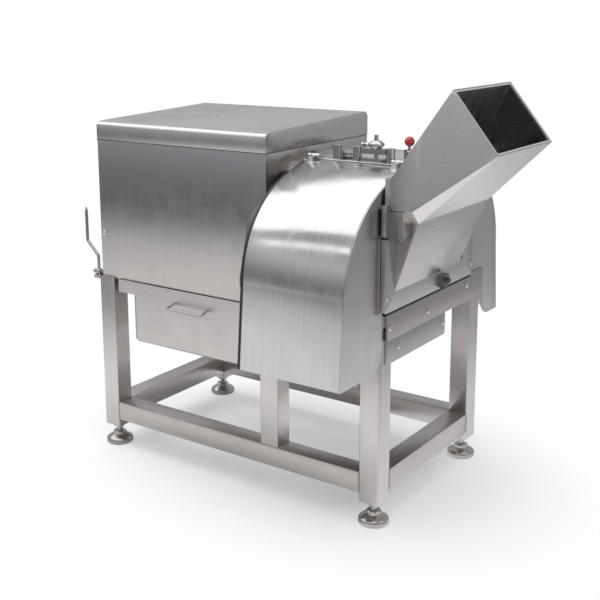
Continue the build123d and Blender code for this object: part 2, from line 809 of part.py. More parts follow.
# Discharge hopper under the head's base
hopper_depth = 90.0
hopper_taper = 50.0


def hopper_face(z, inset):
    """The hopper's plan at one height."""
    with BuildSketch(Plane.XY.offset(z)) as face:
        with Locations(((hopper_left + hopper_right) / 2, (hopper_front + hopper_back) / 2)):
            Rectangle(hopper_right - hopper_left - 2 * inset, hopper_back - hopper_front - 2 * inset)
    return face.sketch.faces()[0]


with BuildPart() as hopper:
    loft([hopper_face(frame_top - hopper_depth, hopper_taper), hopper_face(frame_top, 0)])
    loft(
        [hopper_face(frame_top - hopper_depth, hopper_taper + sheet), hopper_face(frame_top, sheet)],
        mode=Mode.SUBTRACT,
    )
save(hopper, "discharge_hopper")

# Bridge channel between the housing's right wall and the bulkhead
with BuildPart() as bridge:
    block(housing_right, bulkhead_left, front + 147, front + 420, 1158, 1184)
    block(housing_right + 1, bulkhead_left - 1, front + 151, front + 416, 1150, 1180, Mode.SUBTRACT)
save(bridge, "bridge_channel")

# Feed door, hinge, chute and boot
block_top = hinge_block_bottom + hinge_block_height
leaf_top = hinge_block_bottom - 1
throat_width = door_width - 2 * (throat_left - door_left) - 10
with BuildPart() as door:
    with BuildSketch(across(door_in)):
        with Locations((door_mid, (door_bottom + door_top) / 2)):
            RectangleRounded(door_width, door_height, 10)
        with Locations((door_mid, (throat_bottom + door_top - 30) / 2)):
            Rectangle(throat_width, door_top - 30 - throat_bottom, mode=Mode.SUBTRACT)
    extrude(amount=door_thickness)
    for y0, y1 in ((door_y - 1, door_y + 20), (door_far - 20, door_far + 1)):
        block(door_in - 1, door_out + 1, y0, y1, door_shoulder, door_top + 1, Mode.SUBTRACT)
    # Slot that the fixed hinge leaf passes through
    block(door_in - 1, door_out + 1, door_y - 1, pin_y + 20, leaf_top - hinge_leaf - 3, leaf_top + 1, Mode.SUBTRACT)
save(door, "feed_door")

with BuildPart() as hinge_block:
    block(door_out, pin_x + 14, door_y + 1, front + hinge_block_back, hinge_block_bottom, block_top)
    fillet(hinge_block.edges().filter_by(Axis.Z).group_by(Axis.X)[-1], 8)
    rod_z(pin_x, pin_y, hinge_block_bottom - 1, block_top - 9.5, hinge_pin_radius + fit, Mode.SUBTRACT)
save(hinge_block, "door_hinge_block")

with BuildPart() as hinge_leaf_plate:
    block(wall_out, pin_x, pin_y - 13, pin_y + 13, leaf_top - hinge_leaf, leaf_top)
    rod_z(pin_x, pin_y, leaf_top - hinge_leaf, leaf_top, 13)
    rod_z(pin_x, pin_y, leaf_top - hinge_leaf - 1, leaf_top + 1, hinge_pin_radius + fit, Mode.SUBTRACT)
save(hinge_leaf_plate, "door_hinge_leaf")

with BuildPart() as pin:
    rod_z(pin_x, pin_y, leaf_top - hinge_leaf - 10, block_top - 10, hinge_pin_radius)
    rod_z(pin_x, pin_y, leaf_top - hinge_leaf - 7, leaf_top - hinge_leaf, hinge_pin_radius + 4)
save(pin, "door_hinge_pin")

ridge_x = door_out + boot_reach
mouth_low_x = door_out + chute_mouth_low_out
mouth_high_x = mouth_low_x - chute_mouth_back
mouth_low_z = boot_ridge_height + chute_mouth_lift
mouth_high_z = mouth_low_z + chute_mouth_rise
throat_half = door_mid - (front + boot_left)
flare_half = door_width / 2 - 20
# The chute's upper edge crosses the ridge's plane at this share of its run to the door
share = (ridge_x - door_out) / (mouth_high_x - door_out)
neck_top_z = chute_root_top + share * (mouth_high_z - chute_root_top)
neck_half = flare_half + share * (chute_mouth_width / 2 - flare_half)


def section(plane, half_top, half_side, half_low, z_top, z_side, z_low, inset):
    """A six-sided chute section whose lower corners are cut off."""
    half_top -= inset
    half_side -= inset
    half_low = min(half_low - 0.4 * inset, half_side - 0.5)
    z_top -= inset
    z_low += inset
    z_side = max(z_side + 0.4 * inset, z_low + 0.5)
    with BuildSketch(plane) as face:
        with BuildLine():
            Polyline(
                (door_mid - half_top, z_top),
                (door_mid - half_side, z_side),
                (door_mid - half_low, z_low),
                (door_mid + half_low, z_low),
                (door_mid + half_side, z_side),
                (door_mid + half_top, z_top),
                close=True,
            )
        make_face()
    return face.sketch.faces()[0]


mouth_slope = math.hypot(chute_mouth_back, chute_mouth_rise)
side_z = boot_ridge_height + 45


def chute_solid(inset, mode):
    """The chute's outside, or its hollow when an inset is given."""
    half = chute_mouth_width / 2
    out = (chute_mouth_rise / mouth_slope, 0, chute_mouth_back / mouth_slope)
    over = 1 if inset else 0
    up = Plane(
        origin=(mouth_low_x + over * out[0], 0, mouth_low_z + over * out[2]), x_dir=(0, 1, 0), z_dir=out,
    )
    mouth = section(up, half, half, half - 1, mouth_slope, 1, 0, inset)
    neck = section(
        across(ridge_x), neck_half, flare_half, throat_half, neck_top_z, side_z, boot_ridge_height, inset,
    )
    root = section(
        across(door_out - over), flare_half, flare_half, throat_half,
        chute_root_top, side_z, boot_ridge_height, inset,
    )
    loft([neck, mouth], ruled=True, mode=mode)
    loft([root, neck], ruled=True, mode=mode)


def hinge_notch():
    """The room that the hinge block takes out of the chute and the boot."""
    block(
        door_out - 1, pin_x + 14 + gap, door_y - 1, front + hinge_block_back + gap,
        hinge_block_bottom - gap, block_top + gap, Mode.SUBTRACT,
    )


with BuildPart() as chute:
    chute_solid(0, Mode.ADD)
    chute_solid(chute_sheet, Mode.SUBTRACT)
    # The bottom opens into the boot
    block(
        door_out - 2, ridge_x - 2 * chute_sheet, door_mid - throat_half + chute_sheet,
        door_mid + throat_half - chute_sheet, boot_ridge_height - 10, boot_ridge_height + 10, Mode.SUBTRACT,
    )
    hinge_notch()
save(chute, "feed_chute")

def boot_front(inset):
    """The boot's outline seen from the end: upright on the left, drawn in towards its foot on the right."""
    with BuildSketch(across(door_out - 2)) as face:
        with BuildLine():
            Polyline(
                (door_mid - throat_half + inset, boot_bottom - 10),
                (door_mid + throat_half - boot_slant - inset, boot_bottom - 10),
                (door_mid + throat_half - boot_slant - inset, boot_bottom),
                (door_mid + throat_half - inset, boot_ridge_height),
                (door_mid + throat_half - inset, boot_ridge_height + 10),
                (door_mid - throat_half + inset, boot_ridge_height + 10), close=True,
            )
        make_face()
    return face.sketch


with BuildPart() as boot_room:
    with BuildSketch(facing(door_mid + throat_half)):
        with BuildLine():
            Polyline(
                (door_out - 1, boot_bottom + 9), (door_out, boot_bottom + 12),
                (ridge_x - 5, boot_ridge_height - 4), (ridge_x - 5, boot_ridge_height + 1),
                (door_out - 1, boot_ridge_height + 1), close=True,
            )
        make_face()
    extrude(amount=2 * throat_half)
    extrude(boot_front(chute_sheet), amount=boot_reach + 10, mode=Mode.INTERSECT)

with BuildPart() as boot:
    with BuildSketch(facing(door_mid + throat_half)):
        with BuildLine():
            Polyline(
                (door_out, boot_bottom), (ridge_x, boot_ridge_height - 6), (ridge_x, boot_ridge_height),
                (door_out, boot_ridge_height), close=True,
            )
        make_face()
    extrude(amount=2 * throat_half)
    extrude(boot_front(0), amount=boot_reach + 10, mode=Mode.INTERSECT)
    add(boot_room.part, mode=Mode.SUBTRACT)
    hinge_notch()
save(boot, "chute_boot")

with BuildPart() as latch:
    block(door_out, door_out + 16, door_mid + 60, door_mid + 100, door_bottom + 4, boot_bottom - 12)
    rod_x(door_out, door_out + 30, door_mid + 80, door_bottom + 30, 9)
save(latch, "door_latch")

# Apron, lower panel and bolts on the right end
apron_in = wall_out
with BuildPart() as apron:
    with BuildSketch(across(apron_in)):
        with Locations(((front + 24 + back) / 2, apron_bottom + apron_height / 2)):
            RectangleRounded(frame_width - 24, apron_height, 4)
    extrude(amount=apron_thickness)
save(apron, "end_apron")

with BuildPart() as lower_panel:
    with BuildSketch(across(right)):
        with Locations((front + 243, 608)):
            RectangleRounded(424, 84, 10)
    extrude(amount=end_wall_thickness)
save(lower_panel, "lower_panel")

# Drawer pan with its handle and runners in the left bay
pan_left = left + drawer_left
pan_right = pan_left + drawer_width
pan_front = front + 2
pan_back = pan_front + drawer_depth
with BuildPart() as drawer:
    with BuildSketch(Plane.XY.offset(drawer_bottom)):
        with Locations(((pan_left + pan_right) / 2, (pan_front + pan_back) / 2)):
            RectangleRounded(drawer_width, drawer_depth, drawer_corner)
    extrude(amount=drawer_top - drawer_bottom)
    fillet(drawer.faces().sort_by(Axis.Z)[0].edges(), 12)
    offset(amount=-2, openings=drawer.faces().sort_by(Axis.Z)[-1])
    with BuildSketch(Plane.XY.offset(drawer_top - 3)):
        with Locations(((pan_left + pan_right) / 2, (pan_front + pan_back) / 2)):
            Rectangle(drawer_width + 2 * drawer_flange, drawer_depth)
            RectangleRounded(drawer_width - 4, drawer_depth - 4, drawer_corner - 2, mode=Mode.SUBTRACT)
    extrude(amount=3)
    block(left + tube + 23, mid_leg - tube / 2 - 3, pan_front, pan_front + 3, drawer_top - 3, frame_top - 1)
save(drawer, "drawer_pan")

handle_x = left + 461
with BuildPart() as drawer_handle:
    with BuildLine() as handle_path:
        FilletPolyline(
            (handle_x - drawer_handle_width / 2, pan_front, drawer_top - 6),
            (handle_x - drawer_handle_width / 2, pan_front - drawer_handle_reach, drawer_top - 6 - drawer_handle_drop),
            (handle_x + drawer_handle_width / 2, pan_front - drawer_handle_reach, drawer_top - 6 - drawer_handle_drop),
            (handle_x + drawer_handle_width / 2, pan_front, drawer_top - 6),
            radius=12,
        )
    with BuildSketch(facing(pan_front)):
        with Locations((handle_x - drawer_handle_width / 2, drawer_top - 6)):
            Circle(drawer_handle_radius)
    sweep(path=handle_path.line)
    block(
        handle_x - drawer_handle_width, handle_x + drawer_handle_width, pan_front, pan_front + 20,
        drawer_top - 40, drawer_top + 10, Mode.SUBTRACT,
    )
save(drawer_handle, "drawer_handle")

runner_z = drawer_top - 3 - gap
with BuildPart() as runners:
    block(left + tube, pan_left - 1, front + tube, back - tube, runner_z - 4, runner_z)
    block(left + tube, left + tube + 4, front + tube, back - tube, runner_z, frame_top)
    block(pan_right + 1, mid_leg - tube / 2, front + tube, back - tube, runner_z - 4, runner_z)
    block(mid_leg - tube / 2 - 4, mid_leg - tube / 2, front + tube, back - tube, runner_z, frame_top)
save(runners, "drawer_runners")

# Cranked lever and its clamp on the left end
clamp_y = front + 16
clamp_z = 706.0
with BuildPart() as clamp:
    block(left - 32, left, clamp_y - 14, clamp_y + 14, clamp_z - 25, clamp_z - 11.5)
    block(left - 6, left, clamp_y - 14, clamp_y + 14, clamp_z - 25, clamp_z - 3)
    rod_x(left - 42, left, clamp_y, clamp_z, 6)
    rod_x(left - 42, left - 32, clamp_y, clamp_z, 10)
save(clamp, "lever_bracket")

with BuildPart() as crank:
    rod_x(left - 30, left - 8, clamp_y, clamp_z, 11)
    rod_x(left - 31, left - 7, clamp_y, clamp_z, 6 + fit, Mode.SUBTRACT)
    with BuildLine() as crank_path:
        FilletPolyline(
            (left - 19, clamp_y, clamp_z + 10), (left - 19, clamp_y, clamp_z + 62),
            (left - 76, clamp_y, clamp_z + 118), (left - 76, clamp_y, clamp_z + 235), radius=14,
        )
    with BuildSketch(Plane.XY.offset(clamp_z + 10)):
        with Locations((left - 19, clamp_y)):
            Circle(lever_rod)
    sweep(path=crank_path.line)
    with BuildSketch(Plane.XY.offset(clamp_z + 235)):
        with Locations((left - 76, clamp_y)):
            Circle(lever_rod)
    with BuildSketch(Plane.XY.offset(clamp_z + 250)):
        with Locations((left - 76, clamp_y)):
            Circle(2.5)
    loft()
save(crank, "cranked_lever")

# Clamp with hand nut, posts, tab lever and ball lever on the crown strip
lock_y = crown_front + 24
lock_z = crown_at(lock_y)
nut_x = right - 124
tab_x = right - 256
with BuildPart() as lock_base:
    for x in (right - 196, right - 70):
        rod_z(x, lock_y, lock_z - 8, lock_z + 46, 15)
    rod_z(right - 274, lock_y, lock_z - 8, lock_z + 46, 17)
    block(right - 176, right - 92, lock_y - 14, lock_y + 18, lock_z - 8, lock_z + 10)
    block(right - 181, right - 85, lock_y - 8, lock_y + 8, lock_z + 24, lock_z + 42)
    rod_z(nut_x, lock_y, lock_z, lock_z + 88, stud_radius)
    with BuildSketch(Plane.XY.offset(lock_z + 10)):
        with Locations((tab_x, lock_y + 26)):
            SlotOverall(56, 26)
    extrude(amount=7)
    rod_z(tab_x - 15, lock_y + 26, lock_z - 8, lock_z + 26, 8)
    extrude(arch_face(head_left, 0), amount=head_length, mode=Mode.SUBTRACT)
save(lock_base, "cover_lock_base")

with BuildPart() as hand_nut:
    with BuildSketch(Plane.XZ.offset(-lock_y)):
        with BuildLine():
            Polyline(
                (nut_x + stud_radius + fit, lock_z + 42 + gap), (nut_x + 16, lock_z + 42 + gap), (nut_x + 27, lock_z + 54),
                (nut_x + 27, lock_z + 60), (nut_x + 14, lock_z + 70), (nut_x + stud_radius + fit, lock_z + 70), close=True,
            )
        make_face()
    revolve(axis=Axis((nut_x, lock_y, 0), (0, 0, 1)))
save(hand_nut, "cover_hand_nut")

with BuildPart() as ball_lever:
    rod_x(lever_x - 7.5, lever_x + 7.5, lever_y, lever_z + 14, 8)
    rod_z(lever_x, lever_y, lever_z + 14, lever_z + ball_lever_reach, 5)
    rod_x(lever_x - 9, lever_x + 9, lever_y, lever_z + 14, lever_pin_radius + fit, Mode.SUBTRACT)
save(ball_lever, "ball_lever")
with BuildPart() as ball:
    with Locations((lever_x, lever_y, lever_z + ball_lever_reach + ball_radius - 1)):
        Sphere(ball_radius)
    rod_z(lever_x, lever_y, lever_z + 14, lever_z + ball_lever_reach, 5, Mode.SUBTRACT)
save(ball, "ball_knob")
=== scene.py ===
import math

import bmesh
import bpy
from mathutils import Matrix, Vector


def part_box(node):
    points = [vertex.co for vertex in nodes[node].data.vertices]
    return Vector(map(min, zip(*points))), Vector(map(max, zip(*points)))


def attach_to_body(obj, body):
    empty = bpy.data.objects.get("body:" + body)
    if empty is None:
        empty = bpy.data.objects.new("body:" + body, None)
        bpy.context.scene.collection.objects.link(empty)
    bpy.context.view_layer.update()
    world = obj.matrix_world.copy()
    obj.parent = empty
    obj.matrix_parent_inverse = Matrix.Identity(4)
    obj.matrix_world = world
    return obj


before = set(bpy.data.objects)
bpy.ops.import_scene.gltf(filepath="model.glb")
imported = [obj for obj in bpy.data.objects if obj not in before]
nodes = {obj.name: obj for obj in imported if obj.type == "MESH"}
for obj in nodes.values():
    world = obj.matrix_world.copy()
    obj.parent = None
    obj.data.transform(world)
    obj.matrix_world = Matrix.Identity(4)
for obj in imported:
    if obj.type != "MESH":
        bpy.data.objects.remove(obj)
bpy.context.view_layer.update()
scene = bpy.context.scene
scene.view_settings.view_transform = "Standard"

# Places in this script are in metres from the middle of the four feet, on the floor
MIDDLE = (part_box("levelling_foot_front_left")[0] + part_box("levelling_foot_back_right")[1]) / 2
MIDDLE.z = 0


def at(x, y, z):
    """The scene's point for a place on the machine."""
    return MIDDLE + Vector((x, y, z))


# Camera, at the photograph's viewing angle
PHOTO_WIDTH = 600
FOCAL_LENGTH = 1023.49
# The camera looks at a point this far left of and above the photograph's middle; it and the focal length are pixels
LEFT_OF_MIDDLE, ABOVE_MIDDLE = 35, 75
YAW, PITCH, ROLL = (math.radians(angle) for angle in (36.36, -11.63, -0.55))
SENSOR_WIDTH = 36
CAMERA_PLACE = at(2.20407, -3.12799, 1.69232)
VIEW_DISTANCE = 200


def set_camera():
    """Puts the camera where the photograph was taken from."""
    forward = Vector((-math.sin(YAW) * math.cos(PITCH), math.cos(YAW) * math.cos(PITCH), math.sin(PITCH)))
    right = Vector((math.cos(YAW), math.sin(YAW), 0))
    up = right.cross(forward)
    across = math.cos(ROLL) * right + math.sin(ROLL) * up
    upward = -math.sin(ROLL) * right + math.cos(ROLL) * up
    data = bpy.data.cameras.new("camera")
    data.sensor_width = SENSOR_WIDTH
    data.lens = FOCAL_LENGTH * SENSOR_WIDTH / PHOTO_WIDTH
    data.shift_x = LEFT_OF_MIDDLE / PHOTO_WIDTH
    data.shift_y = -ABOVE_MIDDLE / PHOTO_WIDTH
    data.clip_end = VIEW_DISTANCE
    camera = bpy.data.objects.new("camera", data)
    scene.collection.objects.link(camera)
    turn = Matrix((across, upward, -forward)).transposed().to_4x4()
    camera.matrix_world = Matrix.Translation(CAMERA_PLACE) @ turn
    scene.camera = camera


set_camera()


# Shader nodes
def add(tree, kind, operation=None):
    """A new node, set to its operation where it has one."""
    node = tree.nodes.new("ShaderNode" + kind)
    if operation:
        node.operation = operation
    return node


def link(tree, output, socket):
    """Joins a node's output to another node's input socket."""
    tree.links.new(output, socket)


def maths(tree, operation, one, two=None):
    """The result of a sum on one or two sockets or numbers."""
    node = add(tree, "Math", operation)
    for socket, value in zip(node.inputs, (one, two)):
        if isinstance(value, float):
            socket.default_value = value
        elif value is not None:
            link(tree, value, socket)
    return node.outputs[0]


def ramp(tree, value, low, high, start=0.3, end=0.7):
    """Goes from low to high while the value goes from start to end."""
    node = add(tree, "MapRange")
    for name, number in (("From Min", start), ("From Max", end), ("To Min", low), ("To Max", high)):
        node.inputs[name].default_value = number
    link(tree, value, node.inputs["Value"])
    return node.outputs["Result"]


def mix_colour(tree, factor, one, two):
    """Goes from one colour to the other with the factor; a colour is a socket or a tuple."""
    node = add(tree, "Mix")
    node.data_type = "RGBA"
    link(tree, factor, node.inputs["Factor"])
    for name, colour in (("A", one), ("B", two)):
        socket = [s for s in node.inputs if s.name == name and s.type == "RGBA"][0]
        if isinstance(colour, tuple):
            socket.default_value = (*colour, 1)
        else:
            link(tree, colour, socket)
    return [s for s in node.outputs if s.type == "RGBA"][0]


def mix_shader(tree, factor, one, two):
    """Goes from one shader to the other with the factor."""
    node = add(tree, "MixShader")
    link(tree, factor, node.inputs["Fac"])
    link(tree, one.outputs[0], node.inputs[1])
    link(tree, two.outputs[0], node.inputs[2])
    return node


def parts_of(tree, vector):
    """A vector's parts, by their names X, Y and Z."""
    split = add(tree, "SeparateXYZ")
    link(tree, vector, split.inputs[0])
    return split.outputs


def object_place(tree):
    """The shaded point in its object's own coordinates."""
    return add(tree, "TexCoord").outputs["Object"]


def noise(tree, scale, stretch, detail, rough):
    """A noise texture in object space, drawn out along an axis."""
    mapping = add(tree, "Mapping")
    mapping.inputs["Scale"].default_value = stretch
    texture = add(tree, "TexNoise")
    texture.inputs["Scale"].default_value = scale
    texture.inputs["Detail"].default_value = detail
    texture.inputs["Roughness"].default_value = rough
    link(tree, object_place(tree), mapping.inputs["Vector"])
    link(tree, mapping.outputs["Vector"], texture.inputs["Vector"])
    return texture.outputs["Fac"]


def bump(tree, shader, height, strength, size):
    """Gives a shader a bumpy surface whose height has a strength and a size in metres."""
    node = add(tree, "Bump")
    node.inputs["Strength"].default_value = strength
    node.inputs["Distance"].default_value = size
    link(tree, height, node.inputs["Height"])
    link(tree, node.outputs["Normal"], shader.inputs["Normal"])


def new_material(name):
    """A material with its node tree and its surface shader."""
    material = bpy.data.materials.new(name)
    material.use_nodes = True
    tree = material.node_tree
    return material, tree, tree.nodes["Principled BSDF"]


def empty_tree(owner):
    """Clears a material's or world's nodes and returns the tree."""
    owner.use_nodes = True
    owner.node_tree.nodes.clear()
    return owner.node_tree


def scaled(colour, factor):
    """A colour made lighter or darker."""
    return tuple(min(1.0, c * factor) for c in colour)


# Materials
# How a noise is drawn out: evenly, or along the way in which a sheet was brushed
EVEN = (1.0, 1.0, 1.0)
BRUSH = {
    "x": (0.008, 1.0, 1.0), "y": (1.0, 0.008, 1.0), "z": (1.0, 1.0, 0.008), "around_x": (1.0, 0.02, 0.02),
    "none": EVEN,
}
# Painted shade: the darker, cooler colour that upright sheets are given towards their top
PAINTED_TOP_SHADE = (0.30, 0.30, 0.325)
TOP_SHADE_FADE = 0.02
# The range of a normal's Z in which a face stops being an underside with painted light, and of its X in which it stops
# being a rim with painted shadow
LIT_UNDERSIDE_RANGE = (-0.5, -0.25)
SHADOW_RIM_RANGE = (0.4, 0.8)


def painted_top_shade(tree, low, high, share, front=None):
    """The amount of painted top shade: rises from 0 at the lower height to its share at the upper one, on the sheets in
    front of a depth.
    """
    place = parts_of(tree, object_place(tree))
    rise = ramp(tree, place["Z"], 0, 1, low, high)
    if front is not None:
        rise = maths(tree, "MULTIPLY", rise, ramp(tree, place["Y"], 1, 0, front, front + TOP_SHADE_FADE))
    return maths(tree, "MULTIPLY", rise, share)


def painted_side_mask(tree, side):
    """The mask for painted shade on a rim and painted light on an underside: 1 on a plate's rim, which doesn't look
    along X, or on an underside, and 0 on the other faces.
    """
    normal = parts_of(tree, add(tree, "NewGeometry").outputs["Normal"])
    if side == "underside":
        return ramp(tree, normal["Z"], 1, 0, *LIT_UNDERSIDE_RANGE)
    return ramp(tree, maths(tree, "ABSOLUTE", normal["X"]), 1, 0, *SHADOW_RIM_RANGE)


def steel(
    name, colour, roughness, along="none", grain=420.0, depth=0.07, cloud=0.10, strength=0.12, top_shade=None, other=None,
):
    """Brushed stainless steel: fine drawn lines, faint clouds and smudges, painted shade towards the top, and one side
    recoloured, with a painted shadow on a rim and painted light on an underside.
    """
    material, tree, shader = new_material(name)
    lines = noise(tree, grain, BRUSH[along], detail=2.0, rough=0.7)
    coarse = noise(tree, grain * 0.22, BRUSH[along], detail=3.0, rough=0.6)
    clouds = noise(tree, 2.6, EVEN, detail=4.0, rough=0.55)
    smudge = noise(tree, 13.0, EVEN, detail=5.0, rough=0.65)
    base = mix_colour(tree, ramp(tree, lines, 0, 1), scaled(colour, 1 - depth), scaled(colour, 1 + depth))
    shade = mix_colour(tree, ramp(tree, coarse, 0, 0.5), base, scaled(colour, 0.86))
    tone = mix_colour(tree, ramp(tree, clouds, 0, cloud * 3), shade, scaled(colour, 0.72))
    # Painted shade: upright sheets turn darker and cooler towards their top.
    if top_shade:
        tone = mix_colour(tree, painted_top_shade(tree, **top_shade), tone, PAINTED_TOP_SHADE)
    # Painted light and shade on one side: a rim turned dark, an underside turned light.
    if other:
        side, painted_side_colour = other
        tone = mix_colour(tree, painted_side_mask(tree, side), tone, painted_side_colour)
    link(tree, tone, shader.inputs["Base Color"])
    shader.inputs["Metallic"].default_value = 1.0
    worn = ramp(tree, smudge, roughness - 0.05, roughness + 0.06)
    link(tree, maths(tree, "ADD", worn, ramp(tree, lines, -0.04, 0.04)), shader.inputs["Roughness"])
    bump(tree, shader, lines, strength, size=0.0004)
    return material


def plain(name, colour, roughness, grain, depth, bump_size, coat=0.0):
    """Paint, rubber or casting: uneven colour and a fine surface."""
    material, tree, shader = new_material(name)
    spots = noise(tree, grain, EVEN, detail=4.0, rough=0.6)
    clouds = noise(tree, 6.0, EVEN, detail=3.0, rough=0.5)
    base = mix_colour(tree, ramp(tree, spots, 0, 1), scaled(colour, 1 - depth), colour)
    tone = mix_colour(tree, ramp(tree, clouds, 0, 0.35), base, scaled(colour, 0.8))
    link(tree, tone, shader.inputs["Base Color"])
    link(tree, ramp(tree, spots, roughness - 0.05, roughness + 0.07), shader.inputs["Roughness"])
    shader.inputs["Coat Weight"].default_value = coat
    bump(tree, shader, spots, strength=0.25, size=bump_size)
    return material


# The depth just behind the housing's front sheet, where the housing's painted top shade stops
HOUSING_FRONT = at(0, -0.363, 0).y

# The stainless tubes and sheets are one steel, in lighter and darker copies set part by part for how the light falls on
# each: painted light and shade.
tube_z = steel("tube_upright", (0.71, 0.675, 0.655), 0.34, "z")
tube_x = steel("tube_long", (0.61, 0.58, 0.56), 0.34, "x")
tube_y = steel("tube_cross", (0.62, 0.59, 0.57), 0.34, "y")
# The housing's front sheet turns darker and cooler towards its top: painted shade.
housing_steel = steel(
    "housing_brushed", (0.56, 0.535, 0.52), 0.26, "z", depth=0.06,
    top_shade={"low": 0.84, "high": 1.12, "share": 0.8, "front": HOUSING_FRONT},
)
panel_z = steel("panel_upright", (0.86, 0.83, 0.81), 0.50, "z", depth=0.10)
# The bulkhead's rim is near black: painted shadow where the covers close on it.
bulkhead_steel = steel(
    "bulkhead_brushed", (0.86, 0.83, 0.81), 0.50, "z", depth=0.10, other=("rim", (0.07, 0.07, 0.07)),
)
pan_steel = steel("pan_brushed", (0.66, 0.63, 0.615), 0.36, "x")
panel_x = steel("panel_long", (0.60, 0.585, 0.575), 0.27, "x", depth=0.05, cloud=0.04)
panel_y = steel("panel_cross", (0.51, 0.49, 0.475), 0.34, "y")
# The apron is a darker copy of the steel: painted shade.
shaded_apron_steel = steel("apron_brushed_shaded_copy", (0.46, 0.435, 0.42), 0.34, "y")
cover_steel = steel(
    "cover_brushed", (0.61, 0.605, 0.60), 0.19, "around_x", grain=600.0, depth=0.06, cloud=0.06, strength=0.25,
)
# The end wall and feed door turn darker and cooler towards their top: painted shade.
end_steel = steel(
    "end_brushed", (0.62, 0.595, 0.58), 0.34, "z", top_shade={"low": 0.75, "high": 1.15, "share": 0.35},
)
# The chute's underside is given a much lighter colour: painted light.
chute_steel = steel("chute_brushed", (0.52, 0.505, 0.50), 0.28, "x", other=("underside", (0.86, 0.83, 0.81)))
boot_steel = steel("boot_brushed", (0.68, 0.65, 0.635), 0.32, "y")
# A lighter copy of the steel for the hem, seams, lip, bolts and screw heads: painted highlight.
highlight_steel = steel("rim_painted_highlight", (0.78, 0.77, 0.76), 0.30, grain=900.0, depth=0.03, cloud=0.02, strength=0.03)
turned = steel("turned_steel", (0.50, 0.48, 0.46), 0.22, grain=900.0, depth=0.03, cloud=0.05, strength=0.03)
dark_steel = steel("dark_steel", (0.20, 0.19, 0.18), 0.34, grain=900.0, depth=0.05, cloud=0.05, strength=0.03)
machined = steel("machined_steel", (0.50, 0.50, 0.50), 0.28, grain=700.0, depth=0.06, cloud=0.06, strength=0.05)
blade = steel("ground_blade", (0.66, 0.66, 0.66), 0.18, "x", grain=500.0, depth=0.08)
bead_steel = steel("weld_bead", (0.46, 0.43, 0.40), 0.42, grain=240.0, depth=0.16, cloud=0.15, strength=0.4)
casting = plain("casting_paint", (0.13, 0.15, 0.16), 0.45, grain=220.0, depth=0.25, bump_size=0.001)
motor_paint = plain("motor_paint", (0.06, 0.13, 0.24), 0.38, grain=180.0, depth=0.15, bump_size=0.0004, coat=0.2)
rubber = plain("belt_rubber", (0.02, 0.02, 0.02), 0.62, grain=260.0, depth=0.3, bump_size=0.0005)
knob_black = plain("knob_black", (0.025, 0.025, 0.027), 0.35, grain=120.0, depth=0.2, bump_size=0.0002)
red = plain("red_ball", (0.55, 0.015, 0.02), 0.18, grain=40.0, depth=0.06, bump_size=0.0001, coat=0.6)

LOOKS = {
    tube_z: "front_legs back_legs",
    tube_x: "lower_rails_long upper_rails",
    tube_y: "lower_rails_ends drawer_runners",
    housing_steel: "housing_body",
    panel_z: "bridge_channel",
    bulkhead_steel: "head_bulkhead",
    pan_steel: "drawer_pan",
    panel_x: "housing_lid head_base discharge_hopper",
    cover_steel: "front_cover back_cover crown_strip",
    end_steel: "end_wall feed_door",
    panel_y: "lower_panel",
    shaded_apron_steel: "end_apron",
    dark_steel: "door_latch",
    chute_steel: "feed_chute",
    boot_steel: "chute_boot",
    turned: "levelling_foot_front_left levelling_foot_front_right levelling_foot_back_left levelling_foot_back_right "
            "foot_lock_nuts door_hinge_pin door_hinge_block door_hinge_leaf drawer_handle cranked_lever "
            "lever_bracket cover_lock_base cover_hand_nut ball_lever main_shaft motor_shaft crosscut_spindle "
            "circular_spindle",
    machined: "main_bearing_hub drum_case impeller spindle_end_plate stripper_comb motor_plate main_gear "
              "crosscut_gear circular_gear",
    blade: "slicing_knife crosscut_knives circular_knives",
    casting: "motor_pulley shaft_pulley bearing_pedestal gear_case",
    motor_paint: "drive_motor",
    rubber: "drive_belts",
    red: "ball_knob",
}
for material, names in LOOKS.items():
    for name in names.split():
        nodes[name].data.materials.clear()
        nodes[name].data.materials.append(material)


# Corners and shading
CORNER_ANGLE = math.radians(40)
WELD_DISTANCE = 0.00001
CAD_SPLIT_ANGLE = math.radians(32)
PIECE_SPLIT_ANGLE = math.radians(35)
BEVEL_WIDTHS = {
    "front_legs": 0.003, "back_legs": 0.003, "lower_rails_long": 0.004, "lower_rails_ends": 0.004,
    "housing_body": 0.0015, "housing_lid": 0.0025, "front_cover": 0.001, "back_cover": 0.001, "feed_door": 0.002,
    "end_apron": 0.0025, "lower_panel": 0.0015, "end_wall": 0.001, "feed_chute": 0.0012, "chute_boot": 0.0012,
}


def weld(piece):
    """Joins the vertices that faces share, so that edges are found."""
    piece.modifiers.new("weld", "WELD").merge_threshold = WELD_DISTANCE


def rounded(piece, width, segments=3):
    """Rounds a piece's sharp edges."""
    bevel = piece.modifiers.new("bevel", "BEVEL")
    bevel.width = width
    bevel.segments = segments
    bevel.limit_method = "ANGLE"
    bevel.angle_limit = CORNER_ANGLE


def smooth(piece, angle):
    """Smooth shading with the corners kept sharp."""
    for polygon in piece.data.polygons:
        polygon.use_smooth = True
    piece.modifiers.new("split", "EDGE_SPLIT").split_angle = angle


for name, piece in nodes.items():
    weld(piece)
    if name in BEVEL_WIDTHS:
        rounded(piece, BEVEL_WIDTHS[name], 2)
        weld(piece)
    smooth(piece, CAD_SPLIT_ANGLE)


# Floor, screen, world and lamps
FLOOR_HALF = 40
# The camera sees the floor lit and shaded up to the nearer distance and white from the further one, on an oval
FLOOR_FADE = (0.42, 0.92)
FLOOR_OVAL = (0.72, 1.0, 1.0)
SHADED_GREY, SHADED_GLOW = 0.84, 0.27
# The floor's grey where it lights the machine or is seen in the metal
PAPER_GREY = 0.62


